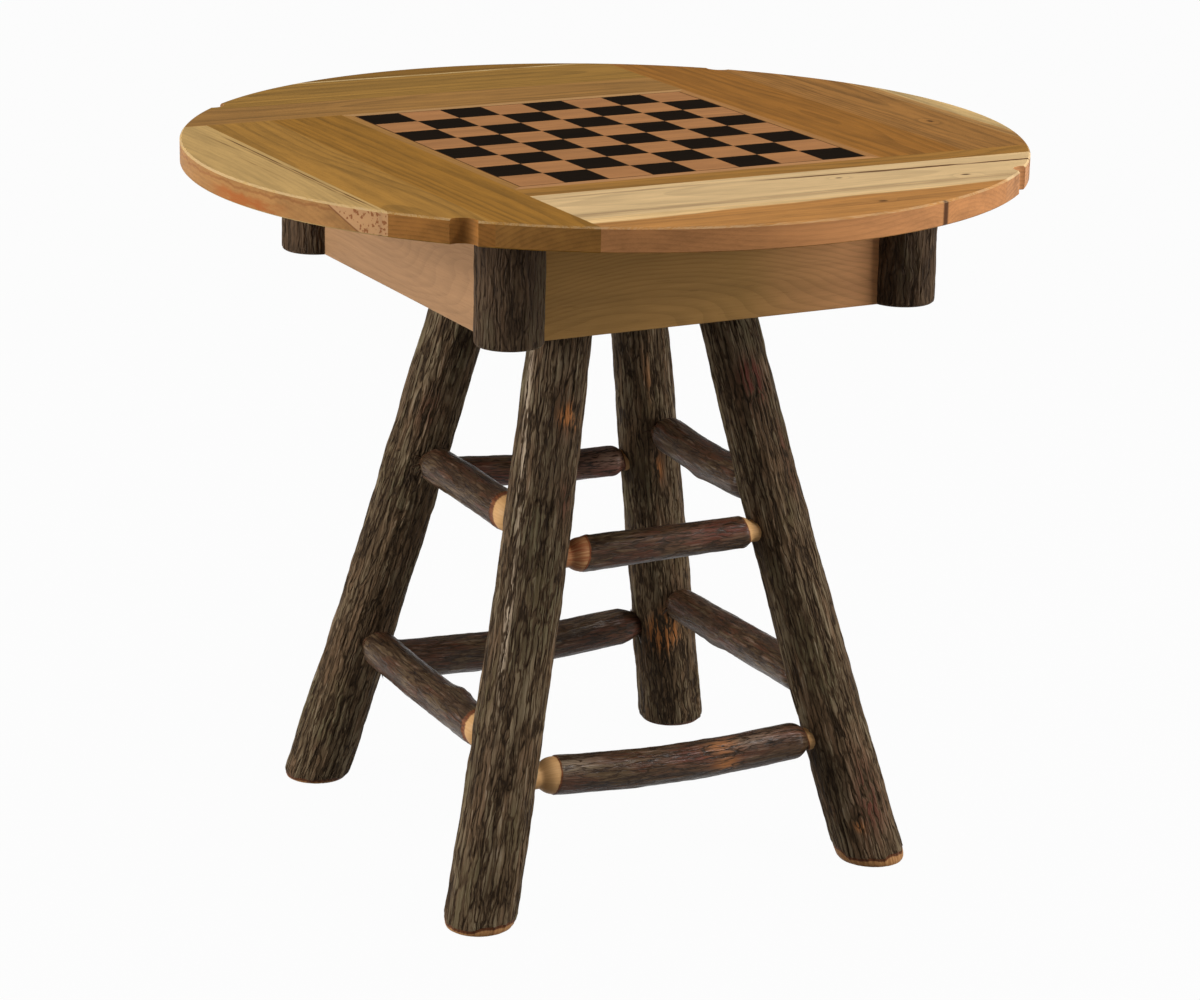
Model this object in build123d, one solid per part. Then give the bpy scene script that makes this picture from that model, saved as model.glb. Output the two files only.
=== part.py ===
"""Rustic hickory game table, built of separate pieces.

Four splayed bark-on legs are wedged through a plate under the top and tied by eight round
rungs. Four short log posts and four boards make the apron box. The round top is four
glued-up boards, laid pinwheel fashion round an inlaid checkerboard panel.

Millimetres. The origin is on the floor under the middle of the top, +Z is up, +X runs to
the right along the front apron and +Y runs to the back.
"""

import math
import os

from build123d import *

# ---------------------------------------------------------------- driving dimensions
table_height = 787.4
joint_clearance = 0.15
cut_overrun = 1.0

# round top
top_diameter = 914.4
top_thickness = 25.4
top_edge_bevel = 2.0
under_edge_bevel = 1.2
notch_radius = 16.0
notch_depth = 10.0
notch_diagonal = 45.0

# boards of the top: each has an inner and an outer strip of set width, and a middle one
inner_strip_width = {"left": 84.0, "front": 34.0, "right": 104.0, "back": 84.0}
outer_strip_width = {"left": 82.0, "front": 92.0, "right": 42.0, "back": 45.0}
groove_length_short_of_rim = 40.0

# tongues that join the boards and hold the panel
tongue_thickness = 8.0
tongue_length = 8.0
tongue_end_space = 1.0

# checkerboard panel
squares_across = 8
square_size = 50.8
veneer_thickness = 3.2
stringing_width = 1.5
border_width = 11.2

# apron box
post_offset = 236.0
post_drift = {"front_left": (5, -2), "front_right": (0, 1), "back_left": (-4, 0), "back_right": (0, 0)}
post_radius = 36.5
post_foot_rounding = 2.5
apron_height = 127.0
apron_thickness = 22.0
apron_proud_of_post_centre = 7.0
apron_edge_rounding = 1.5
housing_depth = 6.0
stub_tenon_thickness = 12.0
stub_tenon_height = 90.0
stub_tenon_length = 13.0

# leg plate and the cleats that carry it
plate_thickness = 25.4
plate_gap = 1.0
plate_corner_gap = 2.0
cleat_size = 22.0
cleat_end_gap = 12.0

# legs: where their ends stand, how far each end strays from there in X and Y, and its bow
leg_top_offset = 70.0
leg_foot_offset = 236.0
leg_top_drift = {"front_left": (-0.5, -3), "front_right": (-1, 3), "back_left": (-13.5, 5), "back_right": (-8, 2)}
leg_foot_drift = {
    "front_left": (-14, 13.5),
    "front_right": (-10, -4.5),
    "back_left": (-0.5, 11),
    "back_right": (1.5, 7.5),
}
leg_bow = {"front_left": (5.3, -2.7), "front_right": (-4, 2), "back_left": (4.1, -2.1), "back_right": (0.7, -0.3)}
leg_top_radius = {"front_left": 32.8, "front_right": 29.6, "back_left": 33.4, "back_right": 31.2}
leg_foot_radius = {"front_left": 39.2, "front_right": 38.3, "back_left": 37.0, "back_right": 38.7}
sole_chamfer_height = 10.0
sole_chamfer_width = 3.5
leg_tenon_radius = 19.0
wedge_head_thickness = 5.0
wedge_tip_thickness = 1.0
wedge_depth = 20.0

# rungs: heights and radii at the first and the second leg, and how far the middle rises
rung_heights = {
    "front_upper_rung": (370.5, 370),
    "front_lower_rung": (143.5, 137.5),
    "left_upper_rung": (407.5, 401),
    "left_lower_rung": (181, 178),
    "right_upper_rung": (411, 404.5),
    "right_lower_rung": (177.5, 190),
    "back_upper_rung": (380.5, 363),
    "back_lower_rung": (139.5, 139),
}
rung_radii = {
    "front_upper_rung": (19.5, 18.0),
    "front_lower_rung": (21.5, 20.5),
    "left_upper_rung": (21.0, 21.5),
    "left_lower_rung": (21.0, 21.0),
    "right_upper_rung": (21.0, 21.5),
    "right_lower_rung": (20.0, 21.5),
    "back_upper_rung": (17.5, 18.5),
    "back_lower_rung": (23.5, 22.0),
}
rung_rise = {
    "front_upper_rung": 0.0,
    "front_lower_rung": -6.5,
    "left_upper_rung": 1.0,
    "left_lower_rung": -1.5,
    "right_upper_rung": -3.5,
    "right_lower_rung": 0.0,
    "back_upper_rung": -3.0,
    "back_lower_rung": -6.0,
}
rung_taper_length = 17.0
rung_neck_length = 9.0
rung_neck_radius = 12.5
rung_tenon_radius = 11.0
rung_tenon_length = 45.0
rung_seat_depth = 3.0
mortise_end_space = 1.0

# screws
screw_shank_radius = 2.4
screw_head_radius = 4.6
screw_head_height = 3.2
screw_drive_size = 2.6
screw_drive_depth = 2.0
screw_fit = 0.05
screw_bite = 13.0
plate_screw_offset = 165.0
cleat_side_screw_spacing = 140.0
cleat_up_screw_offset = 70.0

# ---------------------------------------------------------------- derived places
underside = table_height - top_thickness
top_radius = top_diameter / 2
field_half = squares_across * square_size / 2
panel_half = field_half + stringing_width + border_width
core_top = table_height - veneer_thickness
tongue_bottom = underside + (top_thickness - tongue_thickness) / 2
tongue_top = tongue_bottom + tongue_thickness
apron_outer = post_offset + apron_proud_of_post_centre
apron_inner = apron_outer - apron_thickness
apron_bottom = underside - apron_height
plate_bottom = underside - plate_thickness
plate_half = apron_inner - plate_gap
cleat_bottom = plate_bottom - cleat_size
cleat_inner = apron_inner - cleat_size

sides = ["left", "front", "right", "back"]
corners = ["front_left", "front_right", "back_left", "back_right"]

# the first and the second leg of the rungs on each side
rung_legs = {
    "front": ("front_left", "front_right"),
    "left": ("back_left", "front_left"),
    "right": ("back_right", "front_right"),
    "back": ("back_left", "back_right"),
}


# ---------------------------------------------------------------- helpers
def block(x0, x1, y0, y1, z0, z1):
    """A box given by the places of its six faces."""
    middle = ((x0 + x1) / 2, (y0 + y1) / 2, (z0 + z1) / 2)
    return Pos(*middle) * Box(x1 - x0, y1 - y0, z1 - z0)


def corner_way(corner):
    """Which way a corner lies from the middle, along X and along Y."""
    return (-1 if "left" in corner else 1), (-1 if "front" in corner else 1)


def turned(shape, side):
    """The shape, made for the left side, turned about the middle to another side."""
    return Rot(0, 0, 90 * sides.index(side)) * shape


def group(shapes):
    """Several loose solids as one node."""
    return Compound([solid for shape in shapes for solid in shape.solids()])


def save(name, shape):
    """Write one node."""
    export_step(shape, f"parts/{name}.step")


def screw(length, fit=0.0):
    """A countersunk screw along -Z from the middle of its head, or its hole."""
    shank = Pos(0, 0, -length / 2) * Cylinder(screw_shank_radius + fit, length)
    cone = Cone(screw_shank_radius + fit, screw_head_radius + fit, screw_head_height)
    head = Pos(0, 0, -screw_head_height / 2) * cone
    body = shank + head
    if fit:
        return body
    drive = Pos(0, 0, -screw_drive_depth / 2) * Box(screw_drive_size, screw_drive_size, screw_drive_depth)
    return body - drive


# ---------------------------------------------------------------- top boards
def make_disc():
    """The whole round top with its bevelled edges and its four rim notches."""
    disc = Pos(0, 0, underside + top_thickness / 2) * Cylinder(top_radius, top_thickness)
    rims = disc.edges().filter_by(GeomType.CIRCLE).sort_by(Axis.Z)
    disc = chamfer(rims[-1:], top_edge_bevel)
    rims = disc.edges().filter_by(GeomType.CIRCLE).sort_by(Axis.Z)
    disc = chamfer(rims[:1], under_edge_bevel)
    notch_centre = top_radius + notch_radius - notch_depth
    for side in sides:
        angle = notch_diagonal + 90 * sides.index(side)
        cutter = Pos(notch_centre, 0, table_height) * Cylinder(notch_radius, 4 * top_thickness)
        disc -= Rot(0, 0, angle) * cutter
    return disc


def strip_seams(side):
    """Distances from the middle to the faces of a board's strips, inside to outside."""
    inner_seam = panel_half + inner_strip_width[side]
    outer_seam = top_radius - outer_strip_width[side]
    return [panel_half, inner_seam, outer_seam, top_radius + cut_overrun]


def board_grooves():
    """Both grooves of the left board: along its inner edge, and across its end."""
    depth = tongue_length + tongue_end_space
    bottom = tongue_bottom - joint_clearance
    top = tongue_top + joint_clearance
    reach = math.sqrt(top_radius**2 - panel_half**2) - groove_length_short_of_rim
    edge = block(-panel_half - depth, -panel_half, -reach, panel_half, bottom, top)
    end = block(-reach, -panel_half, panel_half - depth, panel_half, bottom, top)
    return edge + end


def make_strip(disc, side, inner, outer):
    """One glued strip of a board."""
    reach = top_radius + cut_overrun
    bottom = underside - cut_overrun
    region = block(-outer, -inner, -reach, panel_half, bottom, table_height + cut_overrun)
    region -= board_grooves()
    return disc & turned(region, side)


def make_top_strips():
    """Every strip of the four boards."""
    disc = make_disc()
    strips = {}
    for side in sides:
        seams = strip_seams(side)
        for name, inner, outer in zip(["inner", "middle", "outer"], seams, seams[1:]):
            strips[f"{side}_top_{name}_strip"] = make_strip(disc, side, inner, outer)
    return strips


def make_seam_tongues():
    """The loose tongues in the four seams from the panel's corners to the rim."""
    reach = math.sqrt(top_radius**2 - panel_half**2) - groove_length_short_of_rim
    first = panel_half + tongue_length + tongue_end_space + joint_clearance
    tongue = block(
        -panel_half - tongue_length,
        -panel_half + tongue_length,
        -reach + tongue_end_space,
        -first,
        tongue_bottom,
        tongue_top,
    )
    return group([turned(tongue, side) for side in sides])


# ---------------------------------------------------------------- checkerboard panel
def make_panel_core(screws):
    """The board under the squares, with the tongue that runs all round it."""
    core = block(-panel_half, panel_half, -panel_half, panel_half, underside, core_top)
    reach = panel_half + tongue_length
    core += block(-reach, reach, -reach, reach, tongue_bottom, tongue_top)
    return core - screws


def make_squares(dark):
    """The dark or the light squares."""
    squares = []
    for row in range(squares_across):
        for column in range(squares_across):
            if (row + column) % 2 == (0 if dark else 1):
                x = -field_half + (column + 0.5) * square_size
                y = field_half - (row + 0.5) * square_size
                tile = Box(square_size, square_size, veneer_thickness)
                squares.append(Pos(x, y, core_top + veneer_thickness / 2) * tile)
    return group(squares)


def mitred_frame_side(inner, outer):
    """The left side of a square veneer frame with mitred ends."""
    outline = Polyline((-outer, -outer), (-inner, -inner), (-inner, inner), (-outer, outer), close=True)
    return Pos(0, 0, core_top) * extrude(make_face(outline), veneer_thickness)


def make_stringing():
    """The four thin dark lines round the squares."""
    line = mitred_frame_side(field_half, field_half + stringing_width)
    return group([turned(line, side) for side in sides])


def make_borders():
    """The four mitred border strips round the stringing."""
    border = mitred_frame_side(field_half + stringing_width, panel_half)
    return {f"{side}_panel_border": turned(border, side) for side in sides}


# ---------------------------------------------------------------- apron box
def post_centre(corner):
    """Where the middle of a corner post stands."""
    way_x, way_y = corner_way(corner)
    drift_x, drift_y = post_drift[corner]
    return way_x * post_offset + drift_x, way_y * post_offset + drift_y


def make_apron(side, fit=0.0):
    """A board with a stub tenon at each end, or with a fit the hollow it needs."""
    half = post_offset - post_radius + housing_depth
    board = block(
        -apron_outer - fit,
        -apron_inner + fit,
        -half - fit,
        half + fit,
        apron_bottom - fit,
        underside + fit,
    )
    middle = (apron_outer + apron_inner) / 2
    reach = half + stub_tenon_length
    spare = (apron_height - stub_tenon_height) / 2
    tenon = block(
        -middle - stub_tenon_thickness / 2 - fit,
        -middle + stub_tenon_thickness / 2 + fit,
        -reach - fit,
        reach + fit,
        apron_bottom + spare - fit,
        underside - spare + fit,
    )
    if not fit:
        low_edges = board.edges().filter_by(Axis.Y).sort_by(Axis.Z)[:2]
        board = fillet(low_edges, apron_edge_rounding)
    return turned(board + tenon, side)


def make_post(corner):
    """A short log, rounded at its foot, housed for the two aprons that meet in it."""
    x, y = post_centre(corner)
    log = Pos(x, y, underside - apron_height / 2) * Cylinder(post_radius, apron_height)
    foot = log.edges().filter_by(GeomType.CIRCLE).sort_by(Axis.Z)[:1]
    log = fillet(foot, post_foot_rounding)
    for side in sides:
        log -= make_apron(side, joint_clearance)
    return log


# ---------------------------------------------------------------- leg plate and cleats
def leg_centre(corner, height):
    """The middle of a leg log at a height."""
    share = 1 - height / underside
    swell = math.sin(math.pi * share)
    place = []
    for axis, way in enumerate(corner_way(corner)):
        top = way * leg_top_offset + leg_top_drift[corner][axis]
        foot = way * leg_foot_offset + leg_foot_drift[corner][axis]
        place.append(top + (foot - top) * share + leg_bow[corner][axis] * swell)
    return Vector(place[0], place[1], height)


def leg_radius(corner, height):
    """The radius of a leg log at a height."""
    share = 1 - height / underside
    return leg_top_radius[corner] + (leg_foot_radius[corner] - leg_top_radius[corner]) * share


def leg_lean(corner):
    """The way a leg runs, from its foot to its top."""
    return (leg_centre(corner, underside) - leg_centre(corner, 0)).normalized()


def leg_tenon(corner, fit=0.0):
    """The round tenon through the plate, or its hole with a fit."""
    along = Plane(origin=leg_centre(corner, plate_bottom), z_dir=leg_lean(corner))
    rod = along * Cylinder(leg_tenon_radius + fit, 6 * plate_thickness)
    bottom = plate_bottom - plate_thickness
    slab = block(-top_radius, top_radius, -top_radius, top_radius, bottom, underside)
    return rod & slab


def wedge_blank(corner):
    """The taper of a leg's wedge, from the top of its tenon down."""
    lean = leg_lean(corner)
    top_centre = leg_centre(corner, plate_bottom) + lean * (plate_thickness / lean.Z)
    across = lean.cross(Vector(0, 0, 1)).normalized()
    section = Plane(origin=top_centre, x_dir=across, z_dir=across.cross(lean))
    head = wedge_head_thickness / 2
    tip = wedge_tip_thickness / 2
    over = plate_thickness / 2
    slope = (head - tip) / wedge_depth
    outline = Polyline(
        (-head - slope * over, over),
        (head + slope * over, over),
        (tip, -wedge_depth),
        (-tip, -wedge_depth),
        close=True,
    )
    return extrude(section * make_face(outline), 2 * leg_tenon_radius, both=True)


def make_wedges():
    """The wedges that spread the leg tenons in the plate."""
    return group([leg_tenon(corner) & wedge_blank(corner) for corner in corners])


def plate_screw_places():
    """Where the plate is screwed up into the panel core."""
    far = plate_screw_offset
    return [(far, 0), (-far, 0), (0, far), (0, -far), (far, far), (-far, far), (far, -far), (-far, -far)]


def make_plate_screws(fit=0.0):
    """The screws from under the plate into the panel core."""
    length = plate_thickness + screw_bite
    return group(
        [Pos(x, y, plate_bottom) * Rot(180, 0, 0) * screw(length, fit) for x, y in plate_screw_places()]
    )


def cleat_half_length():
    """Half the length of a cleat, which stops short of the posts."""
    return post_offset - post_radius - cleat_end_gap


def make_cleat_side_screws(side, fit=0.0):
    """The screws that hold one cleat to its apron."""
    height = cleat_bottom + cleat_size / 2
    shapes = []
    for step in (-1, 0, 1):
        place = Pos(-cleat_inner, step * cleat_side_screw_spacing, height)
        shapes.append(place * Rot(0, 90, 0) * screw(cleat_size + screw_bite, fit))
    return turned(group(shapes), side)


def make_cleat_up_screws(side, fit=0.0):
    """The screws up through one cleat into the plate."""
    middle = (apron_inner + cleat_inner) / 2
    shapes = []
    for step in (-1, 1):
        place = Pos(-middle, step * cleat_up_screw_offset, cleat_bottom)
        shapes.append(place * Rot(180, 0, 0) * screw(cleat_size + screw_bite, fit))
    return turned(group(shapes), side)


def make_cleat(side):
    """A square stick screwed to an apron, under the edge of the plate."""
    half = cleat_half_length()
    stick = block(-apron_inner, -cleat_inner, -half, half, cleat_bottom, plate_bottom)
    stick = turned(stick, side)
    return stick - make_cleat_side_screws(side, screw_fit) - make_cleat_up_screws(side, screw_fit)


def make_plate():
    """The plate under the top, cut away at the posts and bored for the legs."""
    plate = block(-plate_half, plate_half, -plate_half, plate_half, plate_bottom, underside)
    for corner in corners:
        x, y = post_centre(corner)
        plate -= Pos(x, y, underside) * Cylinder(post_radius + plate_corner_gap, 4 * plate_thickness)
        plate -= leg_tenon(corner, joint_clearance)
    for side in sides:
        plate -= make_cleat_up_screws(side, screw_fit)
    return plate - make_plate_screws(screw_fit)


# ---------------------------------------------------------------- legs and rungs
def leg_section(corner, height, inset=0.0):
    """The level oval of a leaning round log."""
    lean = leg_lean(corner)
    radius = leg_radius(corner, height) - inset
    level = Plane(origin=leg_centre(corner, height), x_dir=Vector(lean.X, lean.Y, 0), z_dir=(0, 0, 1))
    return level * Ellipse(radius / lean.Z, radius)


def make_leg(corner):
    """A tapered log with a chamfered sole, a top tenon and its rung mortises."""
    stations = 5
    rise = (plate_bottom - sole_chamfer_height) / (stations - 1)
    heights = [sole_chamfer_height + step * rise for step in range(stations)]
    log = loft([leg_section(corner, height) for height in heights])
    sole = loft([leg_section(corner, 0, sole_chamfer_width), leg_section(corner, sole_chamfer_height)])
    log = log + sole + leg_tenon(corner)
    for rung in rung_heights:
        if corner in rung_corners(rung):
            log -= rung_end(rung, corner, joint_clearance)
    return log - wedge_blank(corner)


def rung_corners(rung):
    """The two legs that a rung joins."""
    side = rung.split("_")[0]
    return rung_legs[side]


def rung_line(rung, end):
    """Where a rung's line starts in the leg at one end, 0 or 1, and its way along from there."""
    places = [leg_centre(corner, height) for corner, height in zip(rung_corners(rung), rung_heights[rung])]
    return places[end], (places[1 - end] - places[end]).normalized()


def rung_shoulder(rung, end):
    """How far from the middle of the leg a rung's shoulder sits."""
    corner = rung_corners(rung)[end]
    return leg_radius(corner, rung_heights[rung][end]) - rung_seat_depth


def rung_end(rung, corner, fit=0.0):
    """The peeled taper, neck and tenon of a rung in one leg, or its mortise with a fit."""
    end = rung_corners(rung).index(corner)
    start, way = rung_line(rung, end)
    radius = rung_radii[rung][end]
    seat = Plane(origin=start + way * rung_shoulder(rung, end), z_dir=way)
    neck = Pos(0, 0, rung_neck_length / 2) * Cylinder(rung_neck_radius + fit, rung_neck_length)
    taper_middle = Pos(0, 0, rung_neck_length + rung_taper_length / 2)
    taper = taper_middle * Cone(rung_neck_radius + fit, radius + fit, rung_taper_length)
    length = rung_tenon_length + (mortise_end_space if fit else 0)
    tenon = Pos(0, 0, -length / 2) * Cylinder(rung_tenon_radius + fit, length)
    return seat * (taper + neck + tenon)


def make_rung(rung):
    """A round rung, slightly bowed, with a peeled taper, a neck and a tenon at each end."""
    first, way = rung_line(rung, 0)
    second, _ = rung_line(rung, 1)
    first_radius, second_radius = rung_radii[rung]
    begin = first + way * (rung_shoulder(rung, 0) + rung_neck_length + rung_taper_length)
    end = second - way * (rung_shoulder(rung, 1) + rung_neck_length + rung_taper_length)
    stations = 5
    sections = []
    for step in range(stations):
        share = step / (stations - 1)
        lift = rung_rise[rung] * math.sin(math.pi * share)
        centre = begin + (end - begin) * share + Vector(0, 0, lift)
        radius = first_radius + (second_radius - first_radius) * share
        sections.append(Plane(origin=centre, x_dir=way.cross(Vector(0, 0, 1)), z_dir=way) * Circle(radius))
    stick = loft(sections)
    for corner in rung_corners(rung):
        stick += rung_end(rung, corner)
    return stick


# ---------------------------------------------------------------- write the nodes
def main():
    """Make and write every node."""
    os.makedirs("parts", exist_ok=True)
    for name, strip in make_top_strips().items():
        save(name, strip)
    save("top_seam_tongues", make_seam_tongues())
    save("panel_core", make_panel_core(make_plate_screws(screw_fit)))
    save("dark_squares", make_squares(dark=True))
    save("light_squares", make_squares(dark=False))
    save("panel_stringing", make_stringing())
    for name, border in make_borders().items():
        save(name, border)
    for corner in corners:
        save(f"{corner}_post", make_post(corner))
        save(f"{corner}_leg", make_leg(corner))
    for side in sides:
        save(f"{side}_apron", make_apron(side) - make_cleat_side_screws(side, screw_fit))
        save(f"{side}_cleat", make_cleat(side))
    save("leg_plate", make_plate())
    save("leg_wedges", make_wedges())
    for rung in rung_heights:
        save(rung, make_rung(rung))
    save("plate_screws", make_plate_screws())
    save("cleat_side_screws", group([make_cleat_side_screws(side) for side in sides]))
    save("cleat_up_screws", group([make_cleat_up_screws(side) for side in sides]))


main()
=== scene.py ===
import math

import bpy
import numpy as np
from mathutils import Matrix, Vector


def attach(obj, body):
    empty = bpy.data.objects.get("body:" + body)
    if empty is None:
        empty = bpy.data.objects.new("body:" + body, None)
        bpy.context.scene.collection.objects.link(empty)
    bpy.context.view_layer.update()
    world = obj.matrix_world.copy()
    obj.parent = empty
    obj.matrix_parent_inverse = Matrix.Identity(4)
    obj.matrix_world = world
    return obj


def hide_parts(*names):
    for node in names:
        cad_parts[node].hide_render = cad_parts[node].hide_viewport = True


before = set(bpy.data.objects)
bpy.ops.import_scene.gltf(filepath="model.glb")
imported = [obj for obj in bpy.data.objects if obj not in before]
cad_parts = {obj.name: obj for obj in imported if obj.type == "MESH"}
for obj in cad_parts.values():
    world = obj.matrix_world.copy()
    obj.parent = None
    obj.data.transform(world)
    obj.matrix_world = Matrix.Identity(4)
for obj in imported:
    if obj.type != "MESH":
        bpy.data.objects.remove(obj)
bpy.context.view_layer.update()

# Looks of the hickory game table, in metres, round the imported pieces.
print("packed pieces:", len(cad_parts))

topLevel = 0.7874
underside = 0.7620  # of the round top
plateBottom = 0.7366


# colours and node trees

def paint(red, green, blue):  # a screen colour, 0 to 255, as the linear colour a shader takes
    levels = []
    for level in (red / 255, green / 255, blue / 255):
        levels.append(level / 12.92 if level <= 0.04045 else ((level + 0.055) / 1.055) ** 2.4)
    return (*levels, 1)


plainWhite = (1, 1, 1, 1)


class Wire:  # one output in a node tree, or the bare tree where there is no socket yet
    def __init__(self, tree, socket=None):
        self.tree = tree
        self.socket = socket

    def add(self, kind, settings=None, sockets=None, out=0):  # any node, by its type
        node = self.tree.nodes.new("ShaderNode" + kind)
        for name, value in (settings or {}).items():
            if name == "stops":
                while len(node.color_ramp.elements) < len(value):
                    node.color_ramp.elements.new(1)
                for stop, (place, color) in zip(node.color_ramp.elements, value):
                    stop.position = place
                    stop.color = color
            else:
                setattr(node, name, value)
        for name, value in (sockets or {}).items():
            if isinstance(value, Wire):
                self.tree.links.new(value.socket, node.inputs[name])
            else:
                node.inputs[name].default_value = value
        return Wire(self.tree, node.outputs[out])

    def math(self, operation, *values):
        return self.add("Math", {"operation": operation}, dict(enumerate(values)))

    def __add__(self, other):
        return self.math("ADD", self, other)

    def __radd__(self, other):
        return self.math("ADD", other, self)

    def __sub__(self, other):
        return self.math("SUBTRACT", self, other)

    def __rsub__(self, other):
        return self.math("SUBTRACT", other, self)

    def __mul__(self, other):
        return self.math("MULTIPLY", self, other)

    def __rmul__(self, other):
        return self.math("MULTIPLY", other, self)

    def __truediv__(self, other):
        return self.math("DIVIDE", self, other)

    def __rtruediv__(self, other):
        return self.math("DIVIDE", other, self)

    def __abs__(self):
        return self.math("ABSOLUTE", self)


def ease(value, low, high):  # 0 at low, 1 at high, smooth between, whichever of them is greater
    sockets = {"Value": value, "From Min": low, "From Max": high}
    return value.add("MapRange", {"interpolation_type": "SMOOTHSTEP"}, sockets)


def mixed(amount, first, second):  # two colours
    wire = amount if isinstance(amount, Wire) else first
    return wire.add("Mix", {"data_type": "RGBA"}, {0: amount, 6: first, 7: second}, out=2)


def scaled(vector, x, y, z):
    return vector.add("VectorMath", {"operation": "MULTIPLY"}, {0: vector, 1: (x, y, z)})


def shifted(vector, other):
    return vector.add("VectorMath", {"operation": "ADD"}, {0: vector, 1: other})


def cloudy(vector, size, detail=2.0, roughness=0.5):  # noise, 0 to 1, with lumps of that size
    sockets = {"Vector": vector, "Scale": 1 / size, "Detail": detail, "Roughness": roughness}
    return vector.add("TexNoise", {"noise_dimensions": "3D"}, sockets)


def joined(x, y, z):
    return x.add("CombineXYZ", {}, {0: x, 1: y, 2: z})


def parted(vector):
    return [vector.add("SeparateXYZ", {}, {0: vector}, out=axis) for axis in range(3)]


def finish(shader, kind="OutputMaterial"):
    output = shader.tree.nodes.new("ShaderNode" + kind)
    shader.tree.links.new(shader.socket, output.inputs["Surface"])


def painted(wire, color, roughness, height, depth, gloss):
    bump = wire.add("Bump", {}, {"Strength": 1.0, "Distance": depth, "Height": height})
    sockets = {
        "Base Color": color,
        "Roughness": roughness,
        "Normal": bump,
        "Specular IOR Level": gloss["specular"],
        "Coat Weight": gloss["coat"],
        "Coat Roughness": gloss["coatRoughness"],
    }
    finish(wire.add("BsdfPrincipled", {}, sockets))


def newTree(name):
    material = bpy.data.materials.new(name)
    material.use_nodes = True
    material.node_tree.nodes.clear()
    return material, Wire(material.node_tree)


# studio: pale floor, soft light, camera

studio = {
    "cameraPlace": (-1.7427, -3.2805, 1.5071),
    "cameraTurn": (73.19, -0.97, -27.21),
    "lens": 104.42,
    "sensor": 36.0,
    "shift": (0.025, -0.0072),
    "sight": 100,
    "floorSize": 60.0,
    "floorColor": paint(125, 125, 125),
    "floorGlow": 0.97,
    "skyBrink": 0.08,
    "skyTop": 0.5,
    "skyRise": (0.1, 0.9),
    "aim": (0.0, 0.0, 0.5),
    "lamps": {
        "leftBox": {"place": (-2.7, 0.5, 1.1), "size": 1.3, "power": 70},
        "rightBox": {"place": (2.3, -1.7, 1.1), "size": 1.2, "power": 54},
        "frontBox": {"place": (1.3, -1.7, 2.75), "size": 0.32, "power": 30},
        "topBox": {"place": (0.3, 0.6, 3.2), "size": 1.6, "power": 22},
    },
}


def makeStudio():
    bpy.ops.object.select_all(action="DESELECT")
    bpy.ops.mesh.primitive_plane_add(size=studio["floorSize"], location=(0, 0, 0))
    floor = bpy.context.object
    floor.name = "floor"
    material, wire = newTree("paleFloor")
    matte = wire.add("BsdfDiffuse", {}, {"Color": studio["floorColor"]})
    glow = wire.add("Emission", {}, {"Color": plainWhite, "Strength": 1.0})
    rays = ("Is Camera Ray", "Is Glossy Ray", "Is Transmission Ray")
    direct, mirrored, through = [wire.add("LightPath", {}, {}, out=ray) for ray in rays]
    seen = (direct + mirrored + through) * studio["floorGlow"]
    finish(wire.add("MixShader", {}, {0: seen, 1: matte, 2: glow}))
    floor.data.materials.append(material)

    for name, box in studio["lamps"].items():
        place = Vector(box["place"])
        turn = (Vector(studio["aim"]) - place).to_track_quat("-Z", "Y").to_euler()
        bpy.ops.object.light_add(type="AREA", location=place, rotation=turn)
        lamp = bpy.context.object
        lamp.name = name
        lamp.data.size = box["size"]
        lamp.data.energy = box["power"]

    world = bpy.data.worlds.new("studioSky")
    bpy.context.scene.world = world
    world.use_nodes = True
    world.node_tree.nodes.clear()
    sky = Wire(world.node_tree)
    height = parted(sky.add("TexCoord", {}, {}, out="Generated"))[2]
    gain = studio["skyTop"] - studio["skyBrink"]
    strength = ease(height, *studio["skyRise"]) * gain + studio["skyBrink"]
    finish(sky.add("Background", {}, {"Color": plainWhite, "Strength": strength}), "OutputWorld")

    bpy.ops.object.camera_add(
        location=studio["cameraPlace"], rotation=[math.radians(angle) for angle in studio["cameraTurn"]]
    )
    camera = bpy.context.object
    camera.data.lens = studio["lens"]
    camera.data.sensor_width = studio["sensor"]
    camera.data.shift_x, camera.data.shift_y = studio["shift"]
    camera.data.clip_end = studio["sight"]
    bpy.context.scene.camera = camera
    bpy.context.scene.view_settings.view_transform = "Standard"


makeStudio()
print("studio is up")


# planed boards: the grain is cut out of a tree whose middle lies at "heart", across and below the board

plainBoard = {
    "along": "x",
    "tone": (148, 108, 60),
    "contrast": 0.16,
    "rim": (150, 106, 62),  # None where upright faces keep the tone
    "heart": (0.02, -0.09),
    "ringWidth": 0.0045,
    "wander": 0.016,
    "rings": 0.22,
    "streaks": 0.6,
    "fibres": 0.3,
    "figure": (0.9, -1.1, -2.6),  # how far light wood, dark wood and pores part from the tone
    "rimShade": 0.8,
    "seed": 0.0,
    "lines": [],
    "knots": [],
    "knotTone": (62, 34, 18),
    "knotStrength": 0.9,
    "knotSqueeze": 0.55,
    "flecks": None,
    # painted highlight along the eased top edge: how strong it is, and its tone
    "arrisHighlight": 0.3,
    "paintedHighlightTone": (228, 198, 158),
    "change": None,
    "cells": 0.0,
    "roughness": 0.5,
    "poreDepth": 0.00012,
    "gloss": {"specular": 0.04, "coat": 0.0, "coatRoughness": 0.3},
}
grainSizes = {  # lumps to a metre: along the grain, across it and through the board
    "wander": (1.6, 5, 5),
    "drift": (6, 18, 18),
    "streak": (3.0, 56, 56),
    "flame": (16, 95, 95),
    "fibre": (14, 1100, 1100),
    "pore": (45, 900, 900),
    "bend": (9, 9, 9),
    "sway": (3.5, 3.5, 3.5),
    "broken": (16, 240, 240),
    "speck": (300, 300, 220),
    "depth": (60, 60, 30),
}
lineFade = {"start": 0.03, "end": 0.06, "past": 0.02}
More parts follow.
